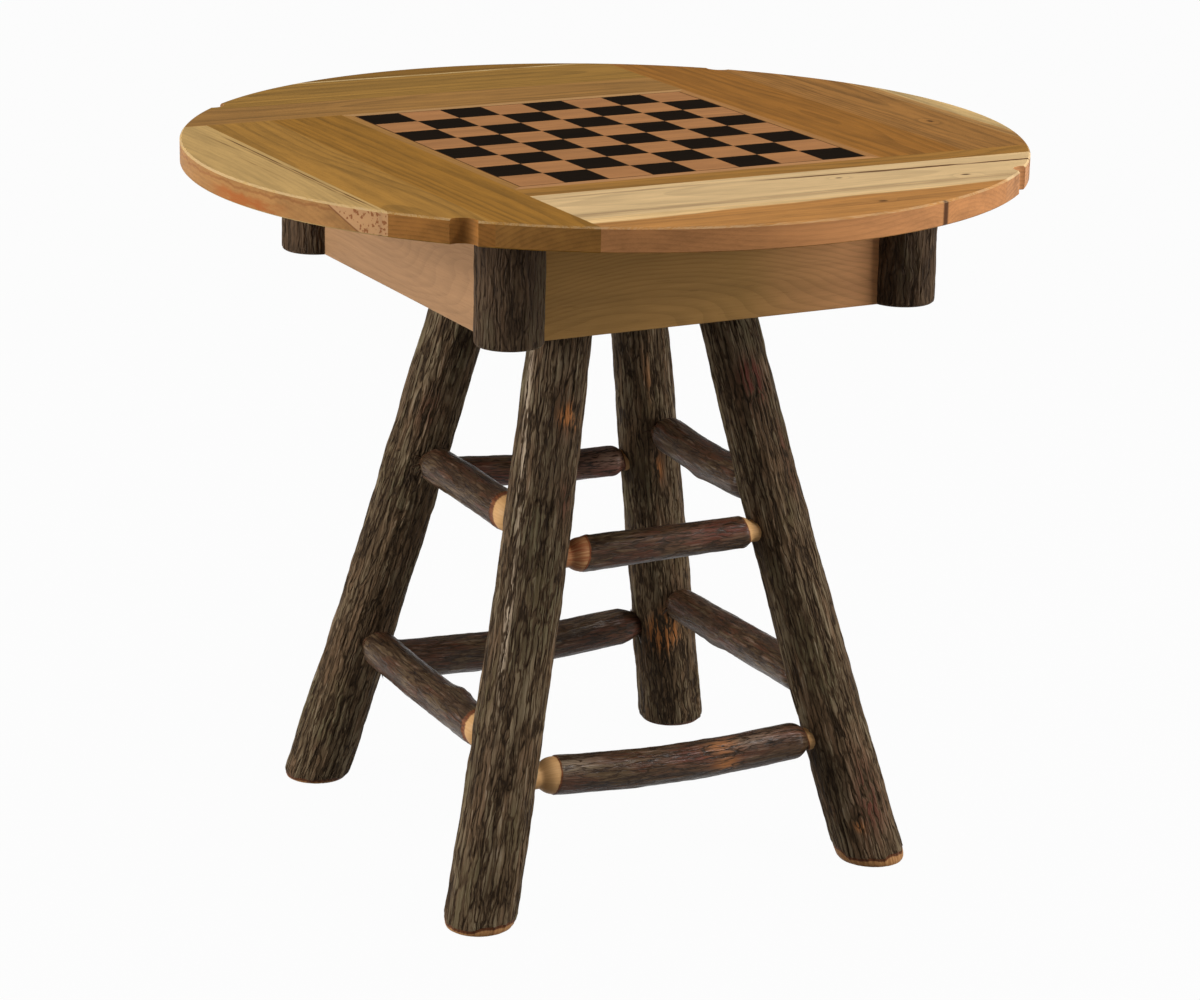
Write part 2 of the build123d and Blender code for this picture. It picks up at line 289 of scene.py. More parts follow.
rimFlecks = {  # flecked wood on the rim up to a slanting split, then brown wood along the lower edge
    "split": -0.196,
    "slant": 1.5,
    "tone": (204, 158, 114),
    "toneStrength": 0.6,
    "speckTone": (134, 78, 44),
    "speckStrength": 0.85,
    "splitTone": (108, 58, 30),
    "splitStrength": 0.7,
    "brown": (-0.13, -0.02),
    "brownFade": 0.03,
    "brownDepth": (0.0155, 0.022),
    "brownTone": (158, 92, 46),
    "seamDepth": 0.0125,
    "seamTone": (128, 76, 40),
    "seamStrength": 0.5,
    "waver": 0.012,
}


def grained(vector, kind, detail=2.0, roughness=0.5):
    return cloudy(scaled(vector, *grainSizes[kind]), 1.0, detail, roughness)


def drawLine(color, line, grain, along, across):  # one dark or pale line along the grain
    sway = (grained(grain, "sway") - 0.5) * line["sway"]
    off = abs(across - line["across"] + sway - (along - line["start"]) * line["slope"])
    here = ease(along, line["start"] - lineFade["start"], line["start"] + lineFade["start"])
    here = here * (1 - ease(along, line["end"] - lineFade["end"], line["end"] + lineFade["past"]))
    band = (1 - ease(off, line["width"] * 0.3, line["width"])) * here
    band = band * ease(grained(grain, "broken"), 0.25, 0.55)
    return mixed(band * line["strength"], color, paint(*line["color"]))


def fleckRim(color, flecks, place, along, level, upright, flame, streak):
    slant = along - flecks["split"] - level * flecks["slant"]
    flecked = ease(slant, 0.001, -0.001) * upright
    color = mixed(flecked * flecks["toneStrength"], color, paint(*flecks["tone"]))
    depth = grained(place, "depth", 3) * flecks["waver"] - level
    speck = 1 - ease(grained(place, "speck"), 0.37, 0.43)
    color = mixed(speck * flecked * flecks["speckStrength"], color, paint(*flecks["speckTone"]))
    split = (1 - ease(abs(slant), 0.0004, 0.0022)) * upright
    color = mixed(split * flecks["splitStrength"], color, paint(*flecks["splitTone"]))
    begin, end = flecks["brown"]
    fade = flecks["brownFade"]
    low = ease(depth, *flecks["brownDepth"]) * ease(along, begin - fade, begin + fade)
    low = low * (1 - ease(along, end - fade, end + fade)) * upright
    color = mixed(low * ease(flame + streak, 0.7, 1.1), color, paint(*flecks["brownTone"]))
    seam = (1 - ease(abs(depth - flecks["seamDepth"]), 0.0006, 0.002)) * ease(slant, 0.001, 0.004) * upright
    return mixed(seam * flecks["seamStrength"], color, paint(*flecks["seamTone"]))


def makeBoardFinish(name, **changes):
    look = {**plainBoard, **changes}
    material, wire = newTree(name)
    place = wire.add("TexCoord", {}, {}, out="Object")
    x, y, z = parted(place)
    along, across = (x, y) if look["along"] == "x" else (y, x)
    level = z - topLevel
    if look["along"] == "z":
        along, across, level = z, x, y
    seed = look["seed"]
    if look["cells"]:  # each square is cut from another place
        column = wire.math("FLOOR", x / look["cells"])
        row = wire.math("FLOOR", y / look["cells"])
        pick = wire.add("TexWhiteNoise", {"noise_dimensions": "2D"}, {0: joined(column, row, 0.0)})
        seed = pick * 9.0 + seed
    grain = joined(along + seed, across, level)

    wander = grained(grain, "wander", 1.5) - 0.5
    drift = grained(grain, "drift") - 0.5
    side = across - look["heart"][0] + wander * (4 * look["wander"]) + drift * look["wander"] * 0.5
    under = level - look["heart"][1] + wander * (2 * look["wander"])
    radius = wire.math("SQRT", side * side + under * under)

    knotCore = None
    for knotX, knotY, knotSize in look["knots"]:
        gapX = (x - knotX) * (look["knotSqueeze"] if look["along"] == "x" else 1.0)
        gapY = (y - knotY) * (look["knotSqueeze"] if look["along"] == "y" else 1.0)
        gap = wire.math("SQRT", gapX * gapX + gapY * gapY)
        radius = radius + (1 - ease(gap, 0, knotSize * 4)) * (1.3 * look["ringWidth"])
        core = 1 - ease(gap, knotSize * 0.35, knotSize)
        knotCore = core if knotCore is None else wire.math("MAXIMUM", knotCore, core)

    turn = radius / look["ringWidth"]
    ring = wire.math("FRACT", turn)
    late = ease(ring, 0.35, 0.95) * (1 - ease(ring, 0.96, 1.0))
    ringTone = cloudy(joined(turn * 0.13, along * 0.35, seed), 1.0, 1)
    flow = joined(along + seed, across + wander * 0.012 + drift * 0.006, level)
    streak = grained(flow, "streak", 5, 0.66)
    flame = grained(flow, "flame", 3, 0.7)
    fibre = grained(grain, "fibre")
    pores = 1 - ease(grained(grain, "pore", 1), 0.26, 0.34)

    shade = (
        0.5
        + (streak - 0.5) * (1.8 * look["streaks"])
        + (flame - 0.5) * (0.9 * look["streaks"])
        + (late - 0.35) * look["rings"]
        + (ringTone - 0.5) * look["rings"]
        + (fibre - 0.5) * look["fibres"]
    )

    def figured(tone):  # a tone with its light and dark grain
        steps = [1 + look["contrast"] * step for step in look["figure"]]
        light, dark, pore = [paint(*[part * step for part in tone]) for step in steps]
        return mixed(pores * 0.3, mixed(ease(shade, 0.05, 0.95), light, dark), pore)

    color = figured(look["tone"])
    if look["change"]:  # another tone past a line across the board
        change = look["change"]
        bend = (grained(place, "bend", 3) - 0.5) * change["sway"]
        past = x * change["way"][0] + y * change["way"][1] - change["at"] + bend
        color = mixed(ease(past, -change["soft"], change["soft"]), color, figured(change["tone"]))

    normal = parted(wire.add("NewGeometry", {}, {}, out="Normal"))
    upright = 1 - ease(abs(normal[2]), 0.25, 0.6)
    if look["rim"]:
        darkRim = [look["rimShade"] * part for part in look["rim"]]
        rimShade = mixed(ease(shade, 0.1, 0.9), paint(*look["rim"]), paint(*darkRim))
        color = mixed(upright, color, rimShade)

    for line in look["lines"]:
        color = drawLine(color, line, grain, along, across)
    if knotCore:
        color = mixed(knotCore * look["knotStrength"], color, paint(*look["knotTone"]))
    if look["flecks"]:
        color = fleckRim(color, look["flecks"], place, along, level, upright, flame, streak)
    # painted highlight: a pale line on the eased edge between top and rim, where the arris catches the light
    arrisHighlight = ease(normal[2], 0.2, 0.5) * (1 - ease(normal[2], 0.9, 0.99)) * ease(fibre + streak, 0.75, 1.15)
    color = mixed(arrisHighlight * look["arrisHighlight"], color, paint(*look["paintedHighlightTone"]))

    rough = fibre * 0.14 + (look["roughness"] - 0.07)
    height = fibre * 0.5 + late * 0.25 - pores * 0.7
    painted(wire, color, rough, height, look["poreDepth"], look["gloss"])
    return material


def dress(node, material):
    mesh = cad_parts[node].data
    mesh.materials.clear()
    mesh.materials.append(material)


darkLine = {"color": (86, 52, 24), "sway": 0.004, "slope": 0.0, "strength": 0.9, "width": 0.0018}
softLine = {**darkLine, "strength": 0.5}
deepLine = {**darkLine, "strength": 1.0, "width": 0.0036}
faintLine = {**darkLine, "strength": 0.4, "width": 0.004}
broadLine = {**darkLine, "strength": 0.35, "width": 0.010}
paleLine = {"color": (206, 176, 124), "sway": 0.003, "slope": 0.0, "strength": 0.85, "width": 0.005}

topBoards = {
    "left_top_inner_strip": {
        "along": "y", "seed": 1.0, "tone": (139, 97, 36), "rim": (163, 114, 58), "heart": (-0.21, -0.12),
    },
    "left_top_middle_strip": {
        "along": "y", "seed": 2.3, "tone": (149, 108, 48), "rim": (163, 109, 53), "heart": (-0.36, -0.10),
        "knots": [(-0.285, -0.299, 0.005)],
    },
    "left_top_outer_strip": {
        "along": "y", "seed": 3.9, "tone": (180, 146, 91), "rim": (173, 124, 72), "heart": (-0.47, -0.08),
        "flecks": rimFlecks, "contrast": 0.11, "rings": 0.1,
        "lines": [
            {**darkLine, "across": -0.3795, "start": -0.26, "end": 0.16, "slope": -0.008},
            {**darkLine, "across": -0.3845, "start": -0.22, "end": 0.10, "slope": -0.004, "strength": 0.6},
            {**darkLine, "across": -0.3945, "start": 0.086, "end": 0.17, "slope": -0.04, "strength": 0.6},
            {**softLine, "across": -0.4065, "start": -0.052, "end": 0.05, "slope": -0.01},
        ],
    },
    "front_top_inner_strip": {
        "along": "x", "seed": 5.2, "tone": (145, 103, 47), "heart": (-0.25, -0.1),
    },
    "front_top_middle_strip": {
        "along": "x", "seed": 6.8, "tone": (199, 168, 122), "rim": (196, 138, 90), "heart": (-0.30, -0.2),
        "contrast": 0.09, "knots": [(0.25, -0.326, 0.004), (0.118, -0.291, 0.003)],
        "change": {
            "way": (0.046, -1.0), "at": 0.377, "soft": 0.003, "sway": 0.018, "tone": (178, 128, 72),
        },
        "lines": [
            {**deepLine, "across": -0.2715, "start": 0.04, "end": 0.46, "slope": -0.03},
            {**darkLine, "across": -0.2785, "start": 0.16, "end": 0.44, "slope": -0.02, "width": 0.0024},
            {**faintLine, "across": -0.268, "start": -0.22, "end": 0.0, "slope": 0.01},
            {**broadLine, "across": -0.352, "start": -0.30, "end": 0.40, "slope": 0.015},
        ],
    },
    "front_top_outer_strip": {
        "along": "x", "seed": 8.1, "tone": (168, 117, 62), "rim": (198, 137, 86), "heart": (-0.42, -0.06),
        "knots": [(0.100, -0.405, 0.004), (0.160, -0.4285, 0.0035)], "rings": 0.12,
        "lines": [{**softLine, "across": -0.4115, "start": 0.03, "end": 0.2, "slope": 0.03}],
        "change": {
            "way": (-0.046, 1.0), "at": -0.377, "soft": 0.003, "sway": -0.018, "tone": (207, 172, 120),
        },
    },
    "right_top_inner_strip": {
        "along": "y", "seed": 9.7, "tone": (137, 91, 37), "heart": (0.26, -0.11),
    },
    "right_top_middle_strip": {
        "along": "y", "seed": 11.4, "tone": (142, 99, 50), "contrast": 0.2, "heart": (0.38, -0.07),
        "knots": [(0.377, -0.062, 0.004)],
        "lines": [{**softLine, "across": 0.345, "start": -0.1, "end": 0.2, "slope": 0.02}],
    },
    "right_top_outer_strip": {
        "along": "y", "seed": 12.6, "tone": (160, 119, 69), "rim": (176, 116, 68), "heart": (0.44, -0.05),
        "change": {
            "way": (1.0, 0.0), "at": 0.4295, "soft": 0.0012, "sway": 0.006, "tone": (192, 160, 108),
        },
    },
    "back_top_inner_strip": {
        "along": "x", "seed": 14.2, "tone": (142, 103, 54), "heart": (0.27, -0.12),
    },
    "back_top_middle_strip": {
        "along": "x", "seed": 15.9, "tone": (143, 106, 49), "heart": (0.36, -0.09),
    },
    "back_top_outer_strip": {
        "along": "x", "seed": 17.3, "tone": (126, 90, 37), "heart": (0.45, -0.06),
        "lines": [{**paleLine, "across": 0.414, "start": -0.3, "end": 0.2}],
    },
}

apronBoards = {
    "left_apron": {
        "along": "y", "seed": 21.0, "heart": (-0.16, 0.02), "tone": (163, 125, 90), "rings": 0.12,
    },
    "front_apron": {
        "along": "x", "seed": 22.7, "heart": (-0.16, 0.02), "tone": (160, 122, 71),
        # the right part turns paler and pinker: partly the wood's own tone, partly painted light falling on
        # that end from the right
        "change": {
            "way": (1.0, 0.0), "at": 0.11, "soft": 0.10, "sway": 0.12, "tone": (195, 141, 95),
        },
    },
    "right_apron": {"along": "y", "seed": 24.1, "heart": (0.16, 0.02), "tone": (163, 121, 84)},
    "back_apron": {"along": "x", "seed": 25.8, "heart": (0.16, 0.02), "tone": (163, 121, 84)},
}
apronFigure = {
    "rim": None, "contrast": 0.1, "ringWidth": 0.006, "wander": 0.07, "rings": 0.2, "streaks": 0.45,
}

squareSide = 0.0508
lightVeneer = {"tone": (160, 111, 68), "rim": (160, 111, 68), "contrast": 0.09}
darkVeneer = {
    "tone": (22, 14, 6), "rim": (22, 14, 6), "gloss": {"specular": 0.01, "coat": 0.0, "coatRoughness": 0.3},
}
stringingTone = (70, 42, 24)
panelBorders = {  # which way the grain runs, and the tone
    "left": ("y", (151, 109, 57)), "front": ("x", (168, 121, 77)),
    "right": ("y", (154, 109, 62)), "back": ("x", (166, 126, 80)),
}
hiddenWood = {"tone": (190, 160, 118), "rim": (190, 160, 118), "roughness": 0.6}


def dressBoards():
    for node, changes in topBoards.items():
        dress(node, makeBoardFinish(node, **changes))
    for node, changes in apronBoards.items():
        dress(node, makeBoardFinish(node, **{**apronFigure, **changes}))
    dress("light_squares", makeBoardFinish("lightSquares", cells=squareSide, **lightVeneer))
    dress("dark_squares", makeBoardFinish("darkSquares", cells=squareSide, seed=31.0, **darkVeneer))
    stringing = {**darkVeneer, "tone": stringingTone}
    dress("panel_stringing", makeBoardFinish("darkStringing", seed=33.0, **stringing))
    for side, (along, tone) in panelBorders.items():
        border = {"tone": tone, "rim": tone, "contrast": 0.1}
        dress(side + "_panel_border", makeBoardFinish(side + "Border", along=along, seed=35.0, **border))
    for node in ("panel_core", "leg_plate", "top_seam_tongues", "leg_wedges", "front_cleat", "back_cleat"):
        dress(node, makeBoardFinish(node, seed=41.0, **hiddenWood))
    for node in ("left_cleat", "right_cleat"):
        dress(node, makeBoardFinish(node, along="y", seed=43.0, **hiddenWood))


dressBoards()
print("boards are finished")


# screws

zinc = {"tone": (206, 200, 178), "tarnish": (150, 142, 120), "roughness": 0.28, "scratchDepth": 0.00005}


def makeSteelFinish():
    material, wire = newTree("zincSteel")
    place = wire.add("TexCoord", {}, {}, out="Object")
    tarnish = cloudy(place, 0.0025, 3)
    scratch = cloudy(scaled(place, 1, 1, 8), 0.0006, 2)
    color = mixed(ease(tarnish, 0.35, 0.7), paint(*zinc["tone"]), paint(*zinc["tarnish"]))
    finish(wire.add("BsdfPrincipled", {}, {
        "Base Color": color,
        "Roughness": scratch * 0.2 + zinc["roughness"],
        "Metallic": 1.0,
        "Normal": wire.add("Bump", {}, {"Distance": zinc["scratchDepth"], "Height": scratch}),
    }))
    return material


steel = makeSteelFinish()
for node in ("plate_screws", "cleat_side_screws", "cleat_up_screws"):
    dress(node, steel)


# bark

thickBark = {
    "fibreDepth": 0.0012, "stripLength": 0.078, "mossAmount": 0.5,
    "wood": (176, 130, 84), "woodShade": (150, 104, 64),
    "innerBark": (104, 64, 40), "innerShade": (76, 46, 30),
    "roughness": 0.6, "gloss": {"specular": 0.06, "coat": 0.0, "coatRoughness": 0.4},
}
barkLooks = {
    "legBark": {
        **thickBark,
        "ridge": (121, 105, 81), "ridgeBrown": (106, 83, 61),
        "between": (79, 62, 44), "furrow": (44, 32, 20),
        "glintFleck": (156, 140, 116), "glintFleckAmount": 0.6,
        "moss": (88, 84, 58), "reddish": (98, 56, 44),
        "stripWidth": 0.0062, "crack": 1.0,
    },
    "postBark": {
        **thickBark,
        "ridge": (99, 80, 60), "ridgeBrown": (88, 68, 50),
        "between": (71, 55, 40), "furrow": (43, 32, 22),
        "glintFleck": (120, 106, 88), "glintFleckAmount": 0.4,
        "moss": (68, 64, 46), "reddish": (84, 44, 32),
        "stripWidth": 0.0068, "crack": 0.85,
    },
    "rungBark": {
        "ridge": (94, 75, 53), "ridgeBrown": (82, 52, 36),
        "between": (59, 42, 28), "furrow": (31, 21, 14),
        "glintFleck": (150, 128, 108), "glintFleckAmount": 0.5,
        "moss": (78, 70, 50), "mossAmount": 0.4, "reddish": (112, 54, 42),
        "stripWidth": 0.0036, "stripLength": 0.040, "fibreDepth": 0.0004, "crack": 0.6,
        "wood": (212, 166, 112), "woodShade": (200, 152, 99),
        "innerBark": (132, 80, 48), "innerShade": (94, 54, 36),
        "roughness": 0.31, "gloss": {"specular": 0.13, "coat": 0.03, "coatRoughness": 0.14},
    },
}
barkSway = {"lumps": (110, 110, 45), "reach": (1.35, 1.35, 0.8)}
spotTones = {"bleached": (176, 156, 132), "knotty": (176, 114, 66), "stained": (158, 88, 54)}


def barkStrips(place, width, length, part):  # lens-shaped strips: how far in from a crack, or a tone for each
    sockets = {"Vector": scaled(place, *barkSway["lumps"]), "Scale": 1.0, "Detail": 2.0}
    sway = place.add("TexNoise", {}, sockets, out="Color")
    strips = scaled(place, 1 / width, 1 / width, 1 / length)
    bent = shifted(strips, scaled(shifted(sway, (-0.5, -0.5, -0.5)), *barkSway["reach"]))
    cells = {"Vector": bent, "Scale": 1.0}
    if part == "tone":
        return parted(place.add("TexVoronoi", {"feature": "F1"}, cells, out="Color"))[0]
    return place.add("TexVoronoi", {"feature": "DISTANCE_TO_EDGE"}, cells)


def makeBarkFinish(name):
    look = barkLooks[name]
    material, wire = newTree(name)

    def mask(label):
        return wire.add("Attribute", {"attribute_name": label}, {}, out="Fac")

    place = wire.add("Attribute", {"attribute_name": "logPlace"}, {}, out="Vector")
    relief = mask("relief")
    strip = barkStrips(place, look["stripWidth"], look["stripLength"], "edge")
    tone = barkStrips(place, look["stripWidth"], look["stripLength"], "tone")
    splinter = barkStrips(place, look["stripWidth"] * 0.45, look["stripLength"] * 0.35, "edge")
    fibre = cloudy(scaled(place, 1, 1, 0.05), 0.0024, 3, 0.65)
    blotch = cloudy(scaled(place, 1, 1, 0.3), 0.010, 3, 0.6)
    patch = cloudy(scaled(place, 1, 1, 0.45), 0.03, 2)
    mossy = cloudy(shifted(scaled(place, 1, 1, 0.35), (3.1, 0.7, 0.2)), 0.045, 3)

    crack = 1 - ease(strip, 0.01, 0.15)
    split = (1 - ease(splinter, 0.0, 0.16)) * (1 - ease(blotch, 0.4, 0.64))
    cut = crack * (0.75 * look["crack"]) + split * (0.5 * look["crack"])
    height = relief * 0.85 + (tone - 0.5) * 0.4 + (fibre - 0.5) * 0.8 + (blotch - 0.5) * 0.7 - cut + 0.34

    browner = ease(patch + (tone - 0.5) * 0.3, 0.38, 0.62)
    ridge = mixed(browner, paint(*look["ridge"]), paint(*look["ridgeBrown"]))
    ridge = mixed(ease(mossy, 0.5, 0.64) * look["mossAmount"], ridge, paint(*look["moss"]))
    # colour follows the height: low furrows and cracks take the dark furrow tone, partly the bark's own
    # darker furrows and partly painted shade in the hollows; ridge tops take the ridge tones
    color = mixed(ease(height, -0.45, 0.2), paint(*look["furrow"]), paint(*look["between"]))
    color = mixed(ease(height, 0.15, 0.8), color, ridge)
    # pale flecks on the highest ridge tops: partly the bark's own pale flakes, partly a painted highlight
    # where the ridges catch the light
    glintFleck = ease(height, 0.7, 1.15) * ease(fibre, 0.45, 0.65)
    color = mixed(glintFleck * look["glintFleckAmount"], color, paint(*look["glintFleck"]))
    broken = ease(height + (patch - 0.5) * 0.8, 0.1, 0.7)
    color = mixed(mask("reddish") * broken * 0.8, color, paint(*look["reddish"]))
    # pale spots: bleached bark on the legs and lower rungs, and painted light on the back upper rung
    color = mixed(mask("bleached") * broken * 0.9, color, paint(*spotTones["bleached"]))
    color = mixed(mask("knotty") * broken, color, paint(*spotTones["knotty"]))

    grain = cloudy(scaled(place, 1, 1, 0.08), 0.0022, 3)
    wood = mixed(ease(grain, 0.35, 0.7), paint(*look["wood"]), paint(*look["woodShade"]))
    skin = mixed(ease(grain, 0.3, 0.7), paint(*look["innerBark"]), paint(*look["innerShade"]))
    peel = mask("peel")  # below 0 bark, 0 to 1 the ring of inner bark, above 1 bare wood
    ragged = peel + (fibre - 0.5) * 0.8
    bare = ease(ragged, -0.05, 0.12)
    color = mixed(bare, color, skin)
    color = mixed(ease(ragged, 0.75, 1.15), color, wood)
    color = mixed(mask("stained") * bare * ease(grain, 0.2, 0.6), color, paint(*spotTones["stained"]))

    rough = (look["roughness"] + (fibre - 0.5) * 0.35) * (1 - bare) + bare * 0.5
    bumps = (height - relief) * (1 - bare) + grain * bare * 0.15
    painted(wire, color, rough, bumps, look["fibreDepth"], look["gloss"])
    return material


barkFinishes = {name: makeBarkFinish(name) for name in barkLooks}


# logs: each is turned upright with its bark on, then set along its own line

spotPaints = ("reddish", "bleached", "knotty", "stained")
barkSteps = 10  # levels of bark thickness in a vertex group
barkSide = 0.98  # points nearer the axis than this share of the radius carry no bark
furrowLevel = 0.06
levelEase = 1e-6
smoothAngle = 50


def spot(label, height, angle, tall, wide, strength=1.0, lean=0):  # the angle is in degrees round the log
    return {
        "paint": label, "height": height, "angle": angle, "tall": tall, "wide": wide,
        "strength": strength, "lean": lean,
    }


def pointsOf(mesh):
    points = np.zeros(len(mesh.vertices) * 3)
    mesh.vertices.foreach_get("co", points)
    return points.reshape(-1, 3)


def movePoints(mesh, points):
    mesh.vertices.foreach_set("co", points.ravel())
    mesh.update()


def keep(mesh, label, values):
    kind = "FLOAT_VECTOR" if values.ndim == 2 else "FLOAT"
    layer = mesh.attributes.new(label, kind, "POINT")
    layer.data.foreach_set("vector" if values.ndim == 2 else "value", values.ravel())


def uprightLog(name, radius, length, around, rings):
    bpy.ops.object.select_all(action="DESELECT")
    bpy.ops.mesh.primitive_cylinder_add(
        vertices=around, radius=radius, depth=length, location=(0, 0, length / 2)
    )
    log = bpy.context.object
    log.name = name
    log.data.name = name
    bpy.ops.object.transform_apply(location=True, rotation=False, scale=False)
    bpy.ops.object.mode_set(mode="EDIT")
    bpy.ops.mesh.select_mode(type="EDGE")
    bpy.ops.mesh.select_all(action="DESELECT")
    bpy.ops.object.mode_set(mode="OBJECT")
    points = pointsOf(log.data)
    for edge in log.data.edges:
        first, second = edge.vertices
        edge.select = bool(abs(points[first][2] - points[second][2]) > length / 2)
    bpy.ops.object.mode_set(mode="EDIT")
    bpy.ops.mesh.subdivide_edgering(number_cuts=rings - 1, interpolation="LINEAR")
    bpy.ops.object.mode_set(mode="OBJECT")
    return log


def turnEnd(log, radius, steps, way):  # draws the end face out through rings of radius and distance
    bpy.ops.object.mode_set(mode="EDIT")
    bpy.ops.mesh.select_mode(type="FACE")
    bpy.ops.mesh.select_all(action="DESELECT")
    bpy.ops.object.mode_set(mode="OBJECT")
    endFace = max(log.data.polygons, key=lambda face: face.center.z * way)
    endFace.select = True
    level = endFace.center.z
    bpy.ops.object.mode_set(mode="EDIT")
    reached = 0.0
    for ringRadius, distance in steps:
        shift = {"value": (0, 0, way * (distance - reached))}
        bpy.ops.mesh.extrude_region_move(TRANSFORM_OT_translate=shift)
        size = ringRadius / radius
        bpy.ops.transform.resize(value=(size, size, 1), center_override=(0, 0, level + way * distance))
        radius = ringRadius
        reached = distance
    bpy.ops.object.mode_set(mode="OBJECT")


def fromAxis(points):
    return np.hypot(points[:, 0], points[:, 1])


def growBark(log, radius, length, cover, bark, seed):  # lumps, then ridges and flakes
    mesh = log.data
    smooth = pointsOf(mesh)
    keep(mesh, "logPlace", smooth + np.array((seed * 0.37, seed * 0.21, seed * 1.3)))
    group = log.vertex_groups.new(name="bark")
    between = (smooth[:, 2] > -levelEase) & (smooth[:, 2] < length + levelEase)
    side = between & (fromAxis(smooth) > radius * barkSide)
    thickness = np.round(np.where(side, cover, 0) * barkSteps)
    for step in range(1, barkSteps + 1):
        points = [int(index) for index in np.flatnonzero(thickness == step)]
        group.add(points, step / barkSteps, "REPLACE")

    lumps = bpy.data.textures.new(log.name + "Lumps", "CLOUDS")
    lumps.noise_scale = 1.0
    ridges = bpy.data.textures.new(log.name + "Ridges", "DISTORTED_NOISE")
    ridges.noise_basis = "VORONOI_F2_F1"
    ridges.noise_distortion = "ORIGINAL_PERLIN"
    ridges.distortion = bark["braid"]
    ridges.noise_scale = 1.0
    ridges.intensity = 1.5  # this texture runs from -1 to 1, and shows only what is above 0
    ridges.contrast = 0.5
    flakes = bpy.data.textures.new(log.name + "Flakes", "CLOUDS")
    flakes.noise_basis = "VORONOI_F2_F1"
    flakes.noise_scale = 1.0
    flakes.noise_depth = 1
    sunk = []
    for texture, cell, depth, middle in (
        (lumps, bark["lumpCell"], bark["lumpDepth"], 0.5),
        (ridges, bark["ridgeCell"], bark["ridgeDepth"], bark["outline"]),
        (flakes, bark["flakeCell"], bark["flakeDepth"], 0.2),
    ):
        before = pointsOf(mesh)
        space = bpy.data.objects.new("barkSpace", None)
        bpy.context.collection.objects.link(space)
        space.scale = cell
        space.location = (seed * 0.31, seed * 0.17, seed * 0.53)
        bpy.context.view_layer.update()
        change = log.modifiers.new("bark", "DISPLACE")
        change.texture = texture
        change.texture_coords = "OBJECT"
        change.texture_coords_object = space
        change.vertex_group = "bark"
        change.strength = depth
        change.mid_level = middle
        bpy.context.view_layer.objects.active = log
        bpy.ops.object.modifier_apply(modifier="bark")
        bpy.data.objects.remove(space)
        sunk.append(fromAxis(pointsOf(mesh)) - fromAxis(before))
    relief = (sunk[1] + sunk[2]) / bark["ridgeDepth"] + bark["outline"] - furrowLevel
    keep(mesh, "relief", relief)


def paintLog(log, radius, marks):  # soft spots at a height and an angle round the upright log
    place = pointsOf(log.data)
    angle = np.degrees(np.arctan2(place[:, 1], place[:, 0]))
    for label in spotPaints:
        amount = np.zeros(len(place))
        for mark in marks:
            if mark["paint"] != label:
                continue
            rise = place[:, 2] - mark["height"]
            turn = angle - mark["angle"] - rise * mark["lean"]
            turn = (turn + 180) % 360 - 180
            gap = (rise / mark["tall"]) ** 2 + (np.radians(turn) * radius / mark["wide"]) ** 2
            amount = np.maximum(amount, mark["strength"] * np.exp(-gap))
        keep(log.data, label, amount)


def finishLog(log, node, finish):
    bpy.ops.object.select_all(action="DESELECT")
    log.select_set(True)
    bpy.context.view_layer.objects.active = log
    bpy.ops.object.shade_smooth_by_angle(angle=math.radians(smoothAngle))
    log.vertex_groups.clear()
    log.data.materials.append(barkFinishes[finish])
    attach(log, "root")
    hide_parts(node)


# legs

tableLegs = {
    "front_left_leg": {
        "top": (-0.0705, -0.073), "foot": (-0.250, -0.2225), "bow": (0.0053, -0.0027),
        "topRadius": 0.0328, "footRadius": 0.0392, "bareFoot": 0.008, "seed": 1.0,
        "marks": [
            spot("bleached", 0.50, -163, 0.11, 0.0046, 1.7, lean=-120),
            spot("bleached", 0.33, -148, 0.08, 0.004, 1.6, lean=-60),
            spot("knotty", 0.527, -86, 0.009, 0.009, 2.0),
            spot("knotty", 0.518, -68, 0.008, 0.008, 1.8),
            spot("reddish", 0.52, -78, 0.026, 0.018, 0.8),
            spot("reddish", 0.44, -70, 0.020, 0.010, 0.8),
            spot("bleached", 0.085, -110, 0.006, 0.006, 0.6),
        ],
    },
    "front_right_leg": {
        "top": (0.069, -0.067), "foot": (0.226, -0.2405), "bow": (-0.004, 0.002),
        "topRadius": 0.0296, "footRadius": 0.0383, "bareFoot": 0.012, "seed": 2.0,
        "marks": [
            spot("reddish", 0.54, -98, 0.026, 0.018, 1.8),
            spot("reddish", 0.45, -66, 0.050, 0.008),
            spot("reddish", 0.075, -92, 0.045, 0.018, 1.2),
            spot("knotty", 0.047, -122, 0.006, 0.005),
        ],
    },
    "back_left_leg": {
        "top": (-0.0835, 0.075), "foot": (-0.2365, 0.247), "bow": (0.0041, -0.0021),
        "topRadius": 0.0334, "footRadius": 0.0370, "bareFoot": 0.005, "seed": 3.0,
        "marks": [
            spot("reddish", 0.47, -120, 0.030, 0.012, 0.7),
        ],
    },
    "back_right_leg": {
        "top": (0.062, 0.072), "foot": (0.2375, 0.2435), "bow": (0.0007, -0.0003),
        "topRadius": 0.0312, "footRadius": 0.0387, "bareFoot": 0.003, "seed": 4.0,
        "marks": [
            spot("knotty", 0.36, -100, 0.014, 0.005, 0.8),
            spot("reddish", 0.39, -100, 0.050, 0.012, 0.6),
            spot("knotty", 0.135, -116, 0.022, 0.019, 2.2),
            spot("knotty", 0.48, -107, 0.030, 0.004, 0.5),
        ],
    },
}
legShape = {
    "around": 216,
    "rings": 330,
    "tenonRadius": 0.0188,
    "peelWaver": 0.45,
    "innerBark": 0.0035,
    "soleRounding": 0.011,
    "soleInset": 0.0030,
    "soleFlat": 0.0008,
    "bareInset": 0.0010,
    "leastBark": 0.2,
    "wedgeRoom": 0.0002,
}
